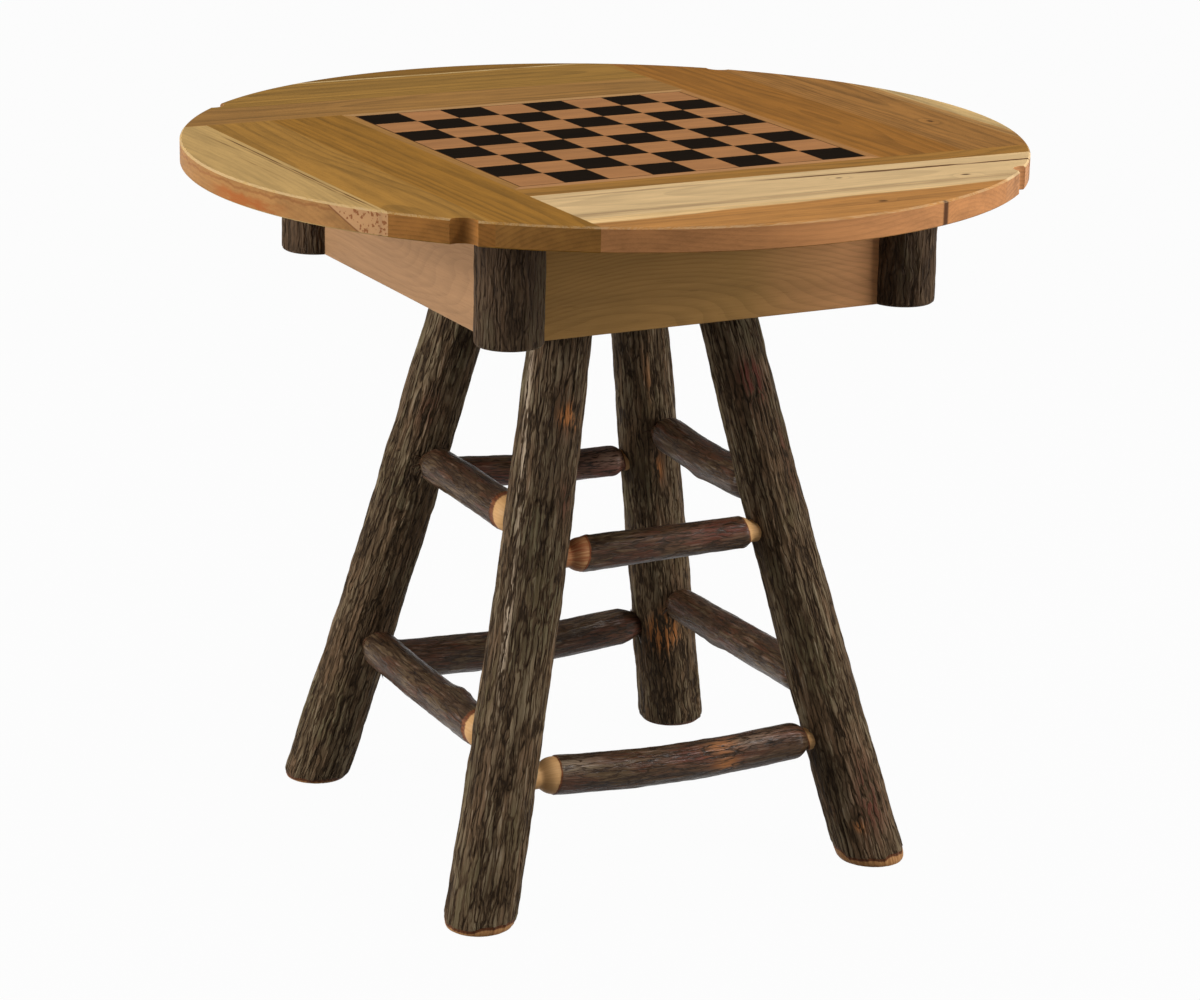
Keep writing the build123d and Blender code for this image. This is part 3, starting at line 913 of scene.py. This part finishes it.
legBarkRelief = {
    "lumpCell": (0.055, 0.055, 0.11), "lumpDepth": 0.0028,
    "ridgeCell": (0.0068, 0.0068, 0.080), "ridgeDepth": 0.0026, "braid": 0.6, "outline": 0.66,
    "flakeCell": (0.0044, 0.0044, 0.034), "flakeDepth": 0.0013,
}


def legCentre(leg, height):
    share = 1 - height / underside
    swell = np.sin(math.pi * share)
    lines = zip(leg["top"], leg["foot"], leg["bow"])
    return [top + (foot - top) * share + bow * swell for top, foot, bow in lines]


def legRadius(leg, height):
    return leg["topRadius"] + (leg["footRadius"] - leg["topRadius"]) * (1 - height / underside)


def legLean(leg):
    foot = legCentre(leg, 0.0)
    top = legCentre(leg, underside)
    return Vector((top[0] - foot[0], top[1] - foot[1], underside)).normalized()


def wavering(angle, seed):  # a smooth uneven edge round a log, -1 to 1
    waves = ((2, 0.4), (3, 0.3), (7, 0.2), (12, 0.1))
    return sum(share * np.sin(count * angle + seed * 2.1 * count) for count, share in waves)


def trimSole(log, leg):  # the flat sole's edge is rounded in, and its last few millimetres are peeled
    points = pointsOf(log.data)
    angle = np.arctan2(points[:, 1], points[:, 0])
    outward = fromAxis(points)
    edge = leg["bareFoot"] * (1 + legShape["peelWaver"] * wavering(angle, leg["seed"]))
    keep(log.data, "peel", (edge - points[:, 2]) / legShape["innerBark"])
    rise = np.clip(1 - points[:, 2] / legShape["soleRounding"], 0, 1)
    inset = legShape["soleInset"] * (1 - np.sqrt(1 - rise**2)) + legShape["bareInset"] * (points[:, 2] < edge)
    target = np.where(outward > leg["footRadius"] * 0.9, outward - inset, outward)
    points[:, :2] *= (target / np.maximum(outward, 1e-6))[:, None]
    points[:, 2] = np.where(points[:, 2] < legShape["soleFlat"], 0, points[:, 2])
    movePoints(log.data, points)


def setLeg(log, leg):  # slides each level ring to its place on the leg's leaning, tapering line
    points = pointsOf(log.data)
    lean = legLean(leg)
    levelLean = np.array((lean.x, lean.y)) / math.hypot(lean.x, lean.y)
    height = points[:, 2]
    offset = points[:, :2] * (legRadius(leg, height) / leg["footRadius"])[:, None]
    stretch = (offset @ levelLean) * (1 / lean.z - 1)
    offset += stretch[:, None] * levelLean
    points[:, :2] = np.stack(legCentre(leg, height), axis=1) + offset
    movePoints(log.data, points)


def makeLeg(node, leg):
    log = uprightLog(node + "_log", leg["footRadius"], plateBottom, legShape["around"], legShape["rings"])
    tenon = legShape["tenonRadius"] * leg["footRadius"] / leg["topRadius"]
    tenonLength = underside - plateBottom - legShape["wedgeRoom"]
    turnEnd(log, leg["footRadius"], [(tenon, 0.0), (tenon, tenonLength)], 1)
    cover = np.clip(pointsOf(log.data)[:, 2] / leg["bareFoot"], legShape["leastBark"], 1)
    growBark(log, leg["footRadius"], plateBottom, cover, legBarkRelief, leg["seed"])
    paintLog(log, leg["footRadius"], leg["marks"])
    trimSole(log, leg)
    setLeg(log, leg)
    finishLog(log, node, "legBark")


for node, leg in tableLegs.items():
    makeLeg(node, leg)
print("legs are up")


# posts

cornerPosts = {
    "front_left_post": {"middle": (-0.231, -0.238), "seed": 5.0},
    "front_right_post": {"middle": (0.236, -0.235), "seed": 6.0},
    "back_left_post": {"middle": (-0.240, 0.236), "seed": 7.0},
    "back_right_post": {"middle": (0.236, 0.236), "seed": 8.0},
}
postShape = {"radius": 0.0365, "length": 0.127, "around": 196, "rings": 56, "footRounding": 0.0025}
postBarkRelief = {
    "lumpCell": (0.05, 0.05, 0.09), "lumpDepth": 0.0022,
    "ridgeCell": (0.0068, 0.0068, 0.080), "ridgeDepth": 0.0024, "braid": 0.6, "outline": 0.72,
    "flakeCell": (0.0044, 0.0044, 0.034), "flakeDepth": 0.0011,
}


def makePost(node, post):
    rounding = postShape["footRounding"]
    barked = postShape["length"] - rounding
    log = uprightLog(node + "_log", postShape["radius"], barked, postShape["around"], postShape["rings"])
    turnEnd(log, postShape["radius"], [(postShape["radius"] - rounding, rounding)], -1)
    growBark(log, postShape["radius"], barked, np.ones(len(log.data.vertices)), postBarkRelief, post["seed"])
    paintLog(log, postShape["radius"], [])
    points = pointsOf(log.data)
    keep(log.data, "peel", np.full(len(points), -2.0))
    points[:, 2] += underside - barked
    points[:, :2] += post["middle"]
    movePoints(log.data, points)
    finishLog(log, node, "postBark")


for node, post in cornerPosts.items():
    makePost(node, post)
print("posts are up")


# rungs

rungs = {
    "front_upper_rung": {
        "legs": ("front_left_leg", "front_right_leg"), "heights": (0.3705, 0.370), "radii": (0.0195, 0.0180),
        "rise": 0.0, "bareFrom": (0.000, 0.009), "seed": 11.0,
        "marks": [
            spot("reddish", 0.17, 140, 0.07, 0.016, 0.8),
            spot("stained", 0.012, 150, 0.024, 0.080),
        ],
        "bumps": [{"height": 0.029, "angle": 96, "tall": 0.006, "wide": 0.006, "out": 0.0022}],
    },
    "front_lower_rung": {
        "legs": ("front_left_leg", "front_right_leg"), "heights": (0.1435, 0.1375), "radii": (0.0215, 0.0205),
        "rise": -0.0065, "bareFrom": (-0.001, 0.017), "seed": 12.0,
        "marks": [
            spot("bleached", 0.045, 130, 0.030, 0.010, 0.5),
            spot("reddish", 0.19, 150, 0.05, 0.014, 0.7),
            spot("knotty", 0.222, 130, 0.018, 0.010, 0.9),
            spot("knotty", 0.226, 190, 0.014, 0.009, 0.9),
            spot("bleached", 0.26, 125, 0.040, 0.008, 0.4),
            spot("reddish", 0.30, 120, 0.04, 0.012, 0.7),
        ],
    },
    "left_upper_rung": {
        "legs": ("back_left_leg", "front_left_leg"), "heights": (0.4075, 0.401), "radii": (0.0210, 0.0215),
        "rise": 0.001, "bareFrom": (0.040, -0.013), "innerBark": 0.008, "seed": 13.0, "marks": [],
    },
    "left_lower_rung": {
        "legs": ("back_left_leg", "front_left_leg"), "heights": (0.181, 0.178), "radii": (0.0210, 0.0210),
        "rise": -0.0015, "bareFrom": (0.040, -0.009), "innerBark": 0.008, "seed": 14.0, "marks": [],
        "bumps": [{"height": 0.226, "angle": 62, "tall": 0.017, "wide": 0.013, "out": 0.0036}],
    },
    "right_upper_rung": {
        "legs": ("back_right_leg", "front_right_leg"), "heights": (0.411, 0.4045), "radii": (0.0210, 0.0215),
        "rise": -0.0035, "bareFrom": (0.040, 0.019), "seed": 15.0, "marks": [],
        "bumps": [{"height": 0.117, "angle": 236, "tall": 0.016, "wide": 0.014, "out": 0.0020}],
    },
    "right_lower_rung": {
        "legs": ("back_right_leg", "front_right_leg"), "heights": (0.1775, 0.190), "radii": (0.0200, 0.0215),
        "rise": 0.0, "bareFrom": (0.040, 0.019), "seed": 16.0, "marks": [],
        "bumps": [{"height": 0.127, "angle": 236, "tall": 0.018, "wide": 0.014, "out": 0.0022}],
    },
    "back_upper_rung": {
        "legs": ("back_left_leg", "back_right_leg"), "heights": (0.3805, 0.363), "radii": (0.0175, 0.0185),
        "rise": -0.003, "bareFrom": (0.019, 0.017), "seed": 17.0,
        "marks": [
            spot("reddish", 0.10, -150, 0.12, 0.02),
            # at 0.22 the rung's own reddish bark is painted strong, with a pale spot over it: painted light
            # that lifts this part out of the shade under the table
            spot("reddish", 0.22, 165, 0.05, 0.022, 1.5),
            spot("bleached", 0.22, 150, 0.04, 0.014, 0.6),
        ],
    },
    "back_lower_rung": {
        "legs": ("back_left_leg", "back_right_leg"), "heights": (0.1395, 0.139), "radii": (0.0235, 0.0220),
        "rise": -0.006, "bareFrom": (0.040, 0.040), "cone": True, "seed": 18.0,
        "marks": [spot("reddish", 0.33, 170, 0.05, 0.015)],
    },
}
rungShape = {
    "around": 120,
    "ringSpacing": 0.0022,
    "taper": 0.017,
    "neckLength": 0.009,
    "fullness": 0.0022,
    "neck": 0.0125,
    "tenonRadius": 0.011,
    "tenonLength": 0.045,
    "seat": 0.003,  # how far a neck stands inside the leg's outline
    "barkThickness": 0.0013,
    "barkFade": 0.002,
    "cutFade": 0.0012,
    "cutSlant": 0.0022,
    "cutWaver": 0.0007,
    "coneFullness": 0.4,
    "innerBark": 0.0018,
}
rungBarkRelief = {
    "lumpCell": (0.032, 0.032, 0.075), "lumpDepth": 0.0022,
    "ridgeCell": (0.0052, 0.0052, 0.045), "ridgeDepth": 0.0010, "braid": 0.6, "outline": 0.7,
    "flakeCell": (0.0036, 0.0036, 0.020), "flakeDepth": 0.0006,
}


def endCut(points, length, rung):  # how far each point is past the bark's cut edge, below 0 under bark
    slant = rungShape["cutSlant"] * points[:, 1] / rungShape["neck"]  # more bark on the underside
    waver = rungShape["cutWaver"] * wavering(np.arctan2(points[:, 1], points[:, 0]), rung["seed"])
    worked = rungShape["neckLength"] + rungShape["taper"]
    first = worked - points[:, 2] - rung["bareFrom"][0]
    second = points[:, 2] - (length - worked) - rung["bareFrom"][1]
    return np.maximum(first, second) + slant + waver


def bodyShare(points, length):  # 0 where the first taper ends, 1 where the second begins
    worked = rungShape["neckLength"] + rungShape["taper"]
    return np.clip((points[:, 2] - worked) / (length - 2 * worked), 0, 1)


def shapeRung(points, length, rung):  # body, swelling tapers and necks, and the lumps that this rung has
    radii = rung["radii"]
    body = radii[0] + (radii[1] - radii[0]) * bodyShare(points, length)
    fromEnd = np.minimum(points[:, 2], length - points[:, 2])
    neckLength = np.full(len(points), rungShape["neckLength"])
    if rung.get("cone"):  # its second end narrows straight to the leg
        neckLength[points[:, 2] > length / 2] = 0
    worked = rungShape["neckLength"] + rungShape["taper"]
    inward = np.clip(1 - (fromEnd - neckLength) / (worked - neckLength), 0, 1)
    share = np.where(neckLength > 0, 1, rungShape["coneFullness"])
    full = rungShape["fullness"] * np.sin(math.pi * inward) * share
    outline = body + (rungShape["neck"] - body) * inward + full
    peeled = np.clip(endCut(points, length, rung) / rungShape["cutFade"], 0, 1) * (1 - inward)
    outline = outline - rungShape["barkThickness"] * peeled
    tenon = (fromEnd < -levelEase) | (fromAxis(points) < rungShape["tenonRadius"] * 1.01)
    points = points.copy()
    points[:, :2] *= np.where(tenon, 1, outline / max(radii))[:, None]
    for bump in rung.get("bumps", []):
        angle = np.arctan2(points[:, 1], points[:, 0]) - math.radians(bump["angle"])
        around = np.abs((angle + math.pi) % (2 * math.pi) - math.pi) * max(radii)
        gap = ((points[:, 2] - bump["height"]) / bump["tall"]) ** 2 + (around / bump["wide"]) ** 2
        points[:, :2] *= (1 + bump["out"] / max(radii) * np.exp(-gap))[:, None]
    return points


def makeRung(node, rung):
    ends = [tableLegs[name] for name in rung["legs"]]
    first, second = [Vector((*legCentre(leg, height), height)) for leg, height in zip(ends, rung["heights"])]
    way = (second - first).normalized()
    reach = [legRadius(leg, height) - rungShape["seat"] for leg, height in zip(ends, rung["heights"])]
    begin = first + way * reach[0]
    length = (second - way * reach[1] - begin).length
    radius = max(rung["radii"])

    rings = round(length / rungShape["ringSpacing"])
    log = uprightLog(node + "_log", radius, length, rungShape["around"], rings)
    tenon = [(rungShape["tenonRadius"], 0.0), (rungShape["tenonRadius"], rungShape["tenonLength"])]
    for side in (1, -1):
        turnEnd(log, radius, tenon, side)
    cut = endCut(pointsOf(log.data), length, rung)
    cover = np.clip(-cut / rungShape["barkFade"], 0, 1)
    growBark(log, radius, length, cover, rungBarkRelief, rung["seed"])
    paintLog(log, radius, rung["marks"])
    keep(log.data, "peel", cut / rung.get("innerBark", rungShape["innerBark"]))

    points = shapeRung(pointsOf(log.data), length, rung)
    share = bodyShare(points, length)
    across = Vector((0, 0, 1)).cross(way).normalized()
    upward = way.cross(across)
    middle = np.array(begin)[None, :] + points[:, 2][:, None] * np.array(way)[None, :]
    middle[:, 2] += rung["rise"] * np.sin(math.pi * share)
    points = middle + points[:, :1] * np.array(across)[None, :] + points[:, 1:2] * np.array(upward)[None, :]
    movePoints(log.data, points)
    finishLog(log, node, "rungBark")


for node, rung in rungs.items():
    makeRung(node, rung)
print("rungs are in")
